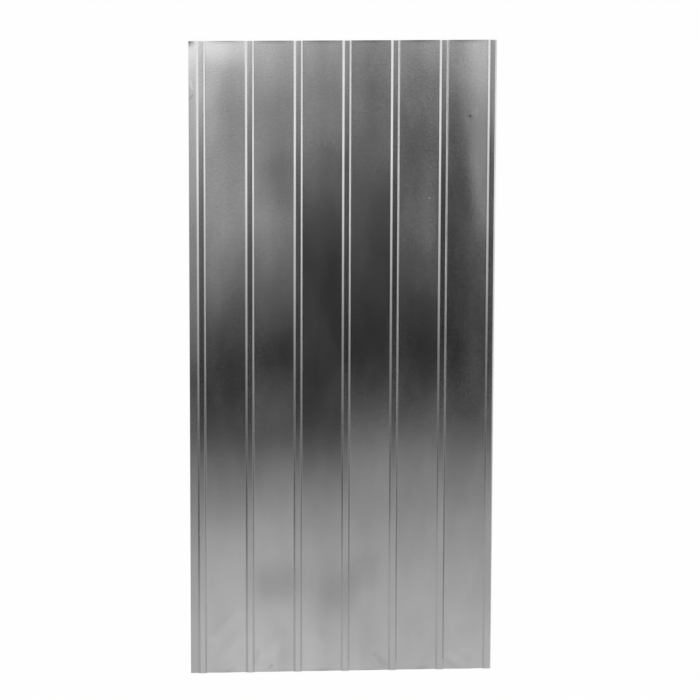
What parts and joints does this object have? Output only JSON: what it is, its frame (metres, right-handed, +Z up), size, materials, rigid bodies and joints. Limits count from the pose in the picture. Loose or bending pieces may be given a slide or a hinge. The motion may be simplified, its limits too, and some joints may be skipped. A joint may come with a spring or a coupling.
{
  "type": "corrugated metal sheet",
  "caption": "Galvanised profiled steel sheet with narrow trapezoidal ribs, wide flat pans, a flat flange on one long edge and a lip on the other, for roofs and fences.",
  "frame": {"origin": "middle of the sheet's bounding box in plan, on the plane of the pans' undersides, which is the floor when it lies flat", "axes": "+X across the ribs, from the flange edge towards the lip edge; +Y along the ribs, towards the top of the picture; +Z up, out of the crests"},
  "size_m": [0.95, 2, 0.0055],
  "materials": {
    "galvanised_steel": "satin"
  },
  "bodies": {
    "root": {"profiled_sheet": "galvanised_steel"}
  },
  "joints": []
}
